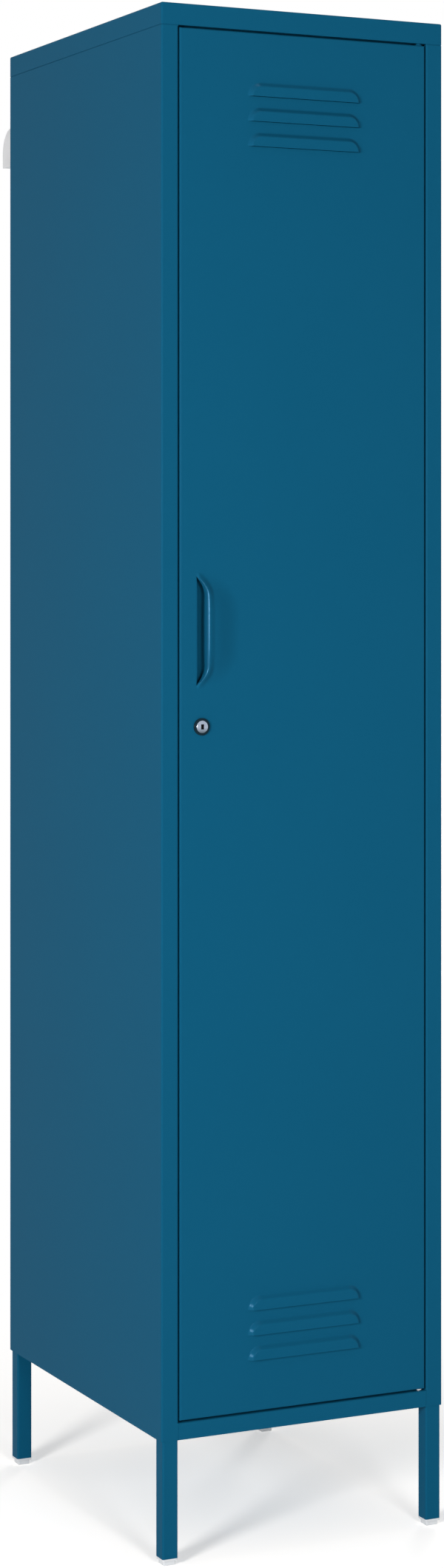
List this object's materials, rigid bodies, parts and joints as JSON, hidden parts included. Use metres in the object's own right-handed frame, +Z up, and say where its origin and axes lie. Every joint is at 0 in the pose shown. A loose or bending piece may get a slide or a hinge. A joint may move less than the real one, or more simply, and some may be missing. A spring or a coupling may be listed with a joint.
{
  "type": "metal storage cabinet",
  "caption": "Tall narrow steel locker cabinet on square legs, with a hinged louvred door, pressed pull, cam lock, shelves and a hanging rod.",
  "frame": {"origin": "on the floor, in the middle of the whole outline with the pull and the wall anchors", "axes": "+X to the right as seen from the front, +Y to the back, +Z up; the door faces -Y"},
  "size_m": [0.38, 0.5196, 1.85],
  "materials": {
    "blue_paint": "smooth satin powder coat",
    "lock_bezel": "black, half gloss",
    "lock_chrome": "bright, finely turned",
    "rod_chrome": "bright",
    "zinc": "zinc plated",
    "nylon": "natural nylon",
    "magnet": "ground",
    "foot_plastic": "moulded, off-white",
    "anchor_plastic": "moulded, light grey"
  },
  "bodies": {
    "carcass": {"back_panel": "blue_paint", "back_panel_screws": "zinc", "base_panel": "blue_paint", "catch_housing_lower": "nylon", "catch_housing_upper": "nylon", "catch_magnet_lower": "magnet", "catch_magnet_upper": "magnet", "catch_screws": "zinc", "foot_back_left": "foot_plastic", "foot_back_right": "foot_plastic", "foot_front_left": "foot_plastic", "foot_front_right": "foot_plastic", "hanging_rod": "rod_chrome", "hat_shelf": "blue_paint", "left_side_panel": "blue_paint", "leg_back_left": "blue_paint", "leg_back_right": "blue_paint", "leg_bolts": "zinc", "leg_front_left": "blue_paint", "leg_front_right": "blue_paint", "leg_nuts": "zinc", "lower_shelf": "blue_paint", "pivot_pin_lower": "zinc", "pivot_pin_upper": "blue_paint", "pivot_washer_lower": "zinc", "pivot_washer_upper": "blue_paint", "right_side_panel": "blue_paint", "rod_bracket_left": "zinc", "rod_bracket_right": "zinc", "rod_bracket_screws": "zinc", "shelf_clips": "zinc", "shelf_upright_back_left": "blue_paint", "shelf_upright_back_right": "blue_paint", "shelf_upright_front_left": "blue_paint", "shelf_upright_front_right": "blue_paint", "top_panel": "blue_paint", "top_panel_screws": "zinc", "wall_anchor_left": "anchor_plastic", "wall_anchor_right": "anchor_plastic", "wall_anchor_screws": "zinc"},
    "door": {"door_skin": "blue_paint", "door_pull": "blue_paint", "pull_cup": "blue_paint", "door_stiffener": "blue_paint", "lock_body": "lock_bezel", "lock_nut": "zinc", "pivot_bush_lower": "nylon", "pivot_bush_upper": "nylon"},
    "lock_rotor": {"lock_plug": "lock_chrome", "lock_cam": "zinc", "cam_screw": "zinc"}
  },
  "joints": [
    {"name": "door_hinge", "type": "hinge", "parent": "carcass", "child": "door", "pos_m": [0.16, -0.24425, 1], "axis": [0, 0, 1], "range_deg": [0, 105]},
    {"name": "lock_turn", "type": "hinge", "parent": "door", "child": "lock_rotor", "pos_m": [-0.1378, -0.24025, 0.992], "axis": [0, 1, 0], "range_deg": [0, 90]}
  ]
}
